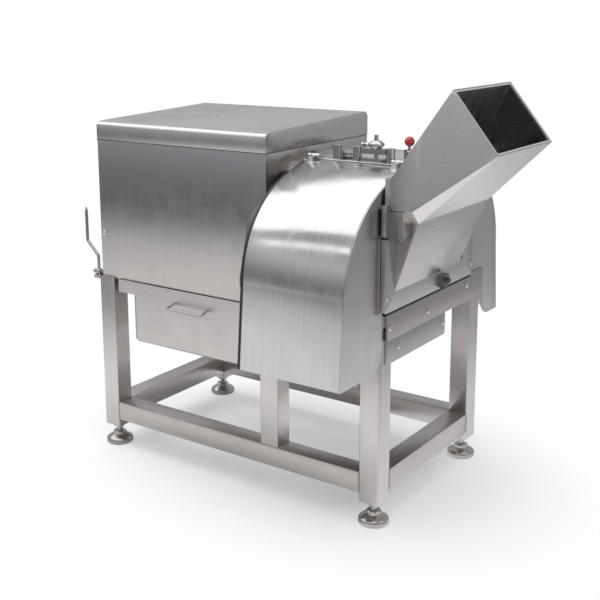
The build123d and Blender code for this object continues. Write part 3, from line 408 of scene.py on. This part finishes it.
def add_object(name, data):
    """A new object in the scene."""
    thing = bpy.data.objects.new(name, data)
    scene.collection.objects.link(thing)
    return thing


def diffuse(tree, grey):
    """A matt grey shader."""
    node = add(tree, "BsdfDiffuse")
    node.inputs["Color"].default_value = (grey, grey, grey, 1)
    return node


def light_path_seen(tree):
    """1 where the camera, or a glossy or clear surface, looks."""
    path = add(tree, "LightPath").outputs
    seen = maths(tree, "MAXIMUM", path["Is Camera Ray"], path["Is Glossy Ray"])
    return maths(tree, "MAXIMUM", seen, path["Is Transmission Ray"])


def make_floor():
    """A pale floor that is lit and shaded round the machine and fades into the white background further off."""
    mesh = bpy.data.meshes.new("floor")
    corners = [(FLOOR_HALF * x, FLOOR_HALF * y, 0) for x, y in ((-1, -1), (1, -1), (1, 1), (-1, 1))]
    mesh.from_pydata(corners, [], [(0, 1, 2, 3)])
    floor = add_object("floor", mesh)
    floor.location = MIDDLE
    material = bpy.data.materials.new("floor")
    tree = empty_tree(material)
    out = add(tree, "OutputMaterial")
    paper = diffuse(tree, PAPER_GREY)
    glow = add(tree, "Emission")
    glow.inputs["Strength"].default_value = SHADED_GLOW
    near = add(tree, "AddShader")
    link(tree, glow.outputs[0], near.inputs[0])
    link(tree, diffuse(tree, SHADED_GREY).outputs[0], near.inputs[1])
    oval = add(tree, "Mapping")
    oval.inputs["Scale"].default_value = FLOOR_OVAL
    link(tree, object_place(tree), oval.inputs["Vector"])
    reach = add(tree, "VectorMath", "LENGTH")
    link(tree, oval.outputs["Vector"], reach.inputs[0])
    under = mix_shader(tree, add(tree, "LightPath").outputs["Is Glossy Ray"], near, paper)
    fade = mix_shader(tree, ramp(tree, reach.outputs["Value"], 0, 1, *FLOOR_FADE), under, add(tree, "Emission"))
    mix = mix_shader(tree, light_path_seen(tree), paper, fade)
    link(tree, mix.outputs[0], out.inputs["Surface"])
    mesh.materials.append(material)


# The screen's tone along its section, by the distance out along the floor and then up the wall, in metres
SCREEN_TONES = (
    (1.2, 0.92), (2.0, 0.80), (2.9, 0.69), (3.6, 0.48), (4.3, 0.28), (4.6, 0.25), (5.3, 0.25), (6.0, 0.42), (6.8, 0.62),
)
SCREEN_PLACE = at(-0.6, -0.7, 0)
SCREEN_RADIUS, SCREEN_HEIGHT = 4.6, 2.6
SCREEN_LIFT = 0.003
SCREEN_STEPS = 64
SCREEN_BLUE = 1.02
# The wall's least tone behind the machine, and the depths between which it rises to that
BACK_TONE = 0.42
BACK_RANGE = (-0.5, 2.6)


def circle(radius, steps):
    """The points of a level circle round the origin."""
    angles = [2 * math.pi * step / steps for step in range(steps)]
    return [Vector((radius * math.cos(angle), radius * math.sin(angle), 0)) for angle in angles]


def skin(maker, rings):
    """Adds the faces between each closed ring of vertices and the next."""
    for low, high in zip(rings, rings[1:]):
        for step in range(len(low)):
            following = (step + 1) % len(low)
            maker.faces.new((low[step], low[following], high[following], high[step]))


def make_screen():
    """A grey studio wall and the floor's far edge, seen only in the metal, so that upright sheets aren't all white."""
    inner, outer = SCREEN_TONES[0][0], SCREEN_RADIUS + SCREEN_HEIGHT
    maker = bmesh.new()
    section = ((inner, SCREEN_LIFT), (SCREEN_RADIUS, SCREEN_LIFT), (SCREEN_RADIUS, SCREEN_HEIGHT))
    skin(maker, [[maker.verts.new(p + Vector((0, 0, z))) for p in circle(r, SCREEN_STEPS)] for r, z in section])
    mesh = bpy.data.meshes.new("screen")
    maker.to_mesh(mesh)
    maker.free()
    screen = add_object("screen", mesh)
    screen.location = SCREEN_PLACE
    material = bpy.data.materials.new("screen")
    tree = empty_tree(material)
    out = add(tree, "OutputMaterial")
    grey = add(tree, "Emission")
    point = object_place(tree)
    place = parts_of(tree, point)
    flat = add(tree, "VectorMath", "MULTIPLY")
    flat.inputs[1].default_value = (1, 1, 0)
    link(tree, point, flat.inputs[0])
    radius = add(tree, "VectorMath", "LENGTH")
    link(tree, flat.outputs[0], radius.inputs[0])
    along = maths(tree, "ADD", radius.outputs["Value"], place["Z"])
    tones = add(tree, "ValToRGB")
    link(tree, ramp(tree, along, 0, 1, inner, outer), tones.inputs["Fac"])
    marks = tones.color_ramp.elements
    while len(marks) < len(SCREEN_TONES):
        marks.new(0.5)
    for mark, (distance, tone) in zip(marks, SCREEN_TONES):
        mark.position = (distance - inner) / (outer - inner)
        mark.color = (tone, tone, tone * SCREEN_BLUE, 1)
    brightest = add(tree, "VectorMath", "MAXIMUM")
    link(tree, tones.outputs["Color"], brightest.inputs[0])
    link(tree, ramp(tree, place["Y"], 0, BACK_TONE, *BACK_RANGE), brightest.inputs[1])
    link(tree, brightest.outputs[0], grey.inputs["Color"])
    link(tree, grey.outputs[0], out.inputs["Surface"])
    material.cycles.emission_sampling = "NONE"
    mesh.materials.append(material)
    screen.visible_camera = False
    screen.visible_diffuse = False
    screen.visible_shadow = False
    screen.visible_transmission = False


WHITE = (1.0, 1.0, 1.0)
OVERHEAD = (0.42, 0.42, 0.43)
OVERHEAD_RANGE = (0.10, 0.55)
AMBIENT, AMBIENT_STRENGTH = (0.60, 0.60, 0.61), 0.75


def make_world():
    """A pale studio: white round the horizon, greyer overhead, and an even grey for the light itself."""
    world = bpy.data.worlds.new("studio")
    scene.world = world
    tree = empty_tree(world)
    out = add(tree, "OutputWorld")
    height = parts_of(tree, add(tree, "TexCoord").outputs["Generated"])["Z"]
    sky = mix_colour(tree, ramp(tree, height, 0, 1, *OVERHEAD_RANGE), WHITE, OVERHEAD)
    lit = add(tree, "Background")
    lit.inputs["Color"].default_value = (*AMBIENT, 1)
    lit.inputs["Strength"].default_value = AMBIENT_STRENGTH
    shown = add(tree, "Background")
    link(tree, sky, shown.inputs["Color"])
    link(tree, mix_shader(tree, light_path_seen(tree), lit, shown).outputs[0], out.inputs["Surface"])


def lamp(name, place, target, size, watts):
    """A rectangular lamp at a place, pointed at a target."""
    data = bpy.data.lights.new(name, "AREA")
    data.shape = "RECTANGLE"
    data.size, data.size_y = size
    data.energy = watts
    thing = add_object(name, data)
    thing.location = place
    thing.rotation_euler = (target - place).to_track_quat("-Z", "Y").to_euler()


make_floor()
make_screen()
make_world()
lamp("overhead", at(-1.5, -0.55, 3.6), at(-1.5, -0.55, 0), size=(6.2, 3.6), watts=104)
lamp("strip", at(-1.2, -3.0, 2.9), at(-1.2, -0.6, 1.0), size=(5.6, 0.34), watts=8)
lamp("side", at(4.2, 0.6, 3.2), at(0.4, 0, 0.8), size=(1.8, 2.2), watts=16)


# Small pieces
def attach(name, maker, material, body, corners=None):
    """Makes a bmesh a piece that rides on a body, smoothly shaded or, given their width, with rounded corners."""
    mesh = bpy.data.meshes.new(name)
    bmesh.ops.recalc_face_normals(maker, faces=maker.faces)
    maker.to_mesh(mesh)
    maker.free()
    mesh.materials.append(material)
    piece = add_object(name, mesh)
    if corners is None:
        smooth(piece, PIECE_SPLIT_ANGLE)
    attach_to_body(piece, body)
    if corners is not None:
        rounded(piece, corners)


def lathe(maker, place, axis, profile, sides=28):
    """Adds a turned form, whose profile is pairs of a radius and a height along the axis."""
    turn = Vector((0, 0, 1)).rotation_difference(Vector(axis)).to_matrix()
    rings = [
        [maker.verts.new(place + turn @ (point + Vector((0, 0, height)))) for point in circle(radius, sides)]
        for radius, height in profile
    ]
    skin(maker, rings)
    maker.faces.new(rings[-1])
    maker.faces.new(list(reversed(rings[0])))


def scaled_profile(radius, height, shares):
    """A profile from pairs of shares of a radius and of a height."""
    return [(radius * a, height * b) for a, b in shares]


BUTTON_HEAD = ((1, 0), (1, 0.3), (0.86, 0.72), (0.5, 1), (0.42, 1), (0.38, 0.55))
WASHER = ((1.25, 0), (1.25, 0.25))
HEXAGON_HEAD = ((1, 0.2), (1, 0.85), (0.86, 1))
ROD_END = ((0.55, 0), (0.9, 0.3), (1, 0.9))
BEAD_SIDES = 8
TRIM_SIDES = 12


def screws(name, places, axis, radius, height, material, body):
    """A set of low button-head screws."""
    maker = bmesh.new()
    for place in places:
        lathe(maker, place, axis, scaled_profile(radius, height, BUTTON_HEAD))
    attach(name, maker, material, body)


def rod(maker, start, end, radius, sides):
    """Adds a round rod with softly domed ends between two points."""
    run = end - start
    profile = scaled_profile(radius, radius, ROD_END)
    profile += [(r, run.length - height) for r, height in reversed(profile)]
    lathe(maker, start, run, profile, sides)


def single_rod(name, start, end, radius, sides, material, body):
    """A piece that is one rod."""
    maker = bmesh.new()
    rod(maker, start, end, radius, sides)
    attach(name, maker, material, body)


def slab(maker, outline, depth):
    """Adds a flat piece: an outline of points, thickened by a vector."""
    low = [maker.verts.new(point) for point in outline]
    high = [maker.verts.new(point + depth) for point in outline]
    maker.faces.new(low)
    maker.faces.new(list(reversed(high)))
    skin(maker, [low, high])


def bar(maker, low, high):
    """Adds a square bar between two corners."""
    outline = ((low.x, low.y), (high.x, low.y), (high.x, high.y), (low.x, high.y))
    slab(maker, [Vector((x, y, low.z)) for x, y in outline], Vector((0, 0, high.z - low.z)))


APRON_FACE, PANEL_FACE, DOOR_FACE = 0.644, 0.636, 0.660
HOUSING_FACE, DRAWER_FACE = -0.365, -0.371
RIGHT, FRONT = (1, 0, 0), (0, -1, 0)
# The screws of the feeding end: their face, their depths and heights, their radius and their body
END_SCREWS = {
    "apron_bolts": (APRON_FACE, ((-0.334, 0.694), (-0.067, 0.687), (0.235, 0.712)), 0.010, "frame"),
    "panel_bolts": (PANEL_FACE, ((-0.260, 0.611), (0.066, 0.611)), 0.010, "frame"),
    "door_screws": (DOOR_FACE, ((-0.3836, 0.8023), (-0.1189, 0.7934), (0.228, 0.7937)), 0.0065, "feed_door"),
}
for name, (face, places, radius, body) in END_SCREWS.items():
    screws(name, [at(face, y, z) for y, z in places], RIGHT, radius, radius * 0.7, highlight_steel, body)
screws("box_screw", [at(-0.6031, HOUSING_FACE, 0.8688)], FRONT, 0.009, 0.006, highlight_steel, "frame")
screws("drawer_screw", [at(0.0665, DRAWER_FACE, 0.6135)], FRONT, 0.006, 0.004, turned, "drawer")


def seals():
    """A black rubber strip under the feed door that paints the shadow in the gap there, the rebate it closes on, and a
    black gasket under the lid that paints the shade in its seam.
    """
    maker = bmesh.new()
    # Painted shadow: a black strip filling the gap under the door.
    bar(maker, at(0.6455, -0.388, 0.7465), at(0.6575, 0.234, 0.7575))
    attach("door_gap_painted_shadow", maker, rubber, "feed_door", corners=0.0015)
    maker = bmesh.new()
    for low, high in ((0.757, 1.000), (1.096, 1.108)):
        bar(maker, at(0.6355, -0.3965, low), at(0.6408, -0.3915, high))
    attach("door_rebate", maker, end_steel, "frame", corners=0.001)
    maker = bmesh.new()
    # Painted shade: a black strip along the lid's seam.
    low, high = 1.2292, 1.2318
    left, right, front, behind, back = -0.6244, 0.1744, -0.3655, -0.3625, 0.300
    bar(maker, at(left, front, low), at(right, behind, high))
    bar(maker, at(0.1715, behind, low), at(right, back, high))
    bar(maker, at(left, behind, low), at(-0.6215, back, high))
    attach("lid_seam_painted_shade", maker, rubber, "housing_lid", corners=0.0005)


def chute_trim():
    """The folded hem inside the chute's mouth, the bead along the boot's ridge and the seam inside the chute."""
    left, right = -0.292, 0.138
    low_left, low_right = at(0.978, left, 1.272), at(0.978, right, 1.272)
    high_left, high_right = at(0.825, left, 1.465), at(0.825, right, 1.465)
    across = Vector((0, 1, 0))
    up = (high_left - low_left).normalized()
    outward = across.cross(up)
    corners = ((low_left, 1, 1), (low_right, -1, 1), (high_right, -1, -1), (high_left, 1, -1))
    maker = bmesh.new()
    # Insets from the mouth's edge and depths below it, round the hem's section
    section = ((0.0042, 0.0003), (0.0042, 0.009), (0.0105, 0.009), (0.0105, 0.0003))
    rings = [
        [maker.verts.new(p + inset * (a * across + b * up) - depth * outward) for p, a, b in corners]
        for inset, depth in section
    ]
    skin(maker, rings + rings[:1])
    attach("chute_hem", maker, highlight_steel, "feed_door", corners=0.0012)
    ridge = at(0.7395, -0.331, 1.0495), at(0.7395, 0.177, 1.0495)
    single_rod("ridge_bead", *ridge, 0.0042, TRIM_SIDES, chute_steel, "feed_door")
    seam = at(0.8208, 0.1315, 1.4545), at(0.745, 0.1745, 1.3178)
    single_rod("chute_seam", *seam, 0.0026, TRIM_SIDES, highlight_steel, "feed_door")


def stop_bar():
    """The flat bar that stands on the arch's left edge, with its knob and a bolt."""
    maker = bmesh.new()
    outline = [at(0.241, y, z) for y, z in ((-0.33, 1.166), (-0.04, 1.214), (-0.04, 1.238), (-0.33, 1.192))]
    slab(maker, outline, Vector((0.008, 0, 0)))
    attach("stop_bar", maker, turned, "frame", corners=0.001)
    maker = bmesh.new()
    lathe(
        maker, at(0.2405, -0.165, 1.203), (-0.6, 0, 0.8),
        [(0.004, -0.004), (0.005, 0.006), (0.012, 0.009), (0.0135, 0.014), (0.012, 0.020), (0.007, 0.023)],
    )
    attach("stop_knob", maker, knob_black, "frame")
    maker = bmesh.new()
    place, radius, height = at(0.249, -0.235, 1.196), 0.008, 0.010
    lathe(maker, place, (1, 0, 0), scaled_profile(radius, height, WASHER))
    lathe(maker, place, (1, 0, 0), scaled_profile(radius, height, HEXAGON_HEAD), sides=6)
    attach("stop_bolt", maker, highlight_steel, "frame")


def welds():
    """Low weld beads where the frame's tubes meet."""
    maker = bmesh.new()
    low, high, rail_top = 0.113, 0.184, 0.186
    corner_x, corner_y = 0.556, 0.297
    end_face, front_face = 0.6315, 0.3725
    middle_left, middle_right = 0.146, 0.222
    upright, level = 0.0017, 0.0016
    for x_side in (-1, 1):
        for y_side in (-1, 1):
            for x, y in ((corner_x * x_side, front_face * y_side), (end_face * x_side, corner_y * y_side)):
                rod(maker, at(x, y, low), at(x, y, high), upright, BEAD_SIDES)
    for side in (-1, 1):
        y = side * front_face
        rod(maker, at(middle_left, y, rail_top), at(middle_right, y, rail_top), level, BEAD_SIDES)
        for x in (middle_left, middle_right, -corner_x, corner_x):
            rod(maker, at(x, side * 0.299, rail_top), at(x, side * 0.371, rail_top), level, BEAD_SIDES)
    attach("frame_welds", maker, bead_steel, "frame")


def crown_lip():
    """The front lip of the crown strip, made bright with painted highlight."""
    lip = at(0.252, -0.2225, 1.2085), at(0.630, -0.2225, 1.2085)
    single_rod("crown_lip", *lip, 0.002, BEAD_SIDES, highlight_steel, "frame")


seals()
chute_trim()
stop_bar()
welds()
crown_lip()
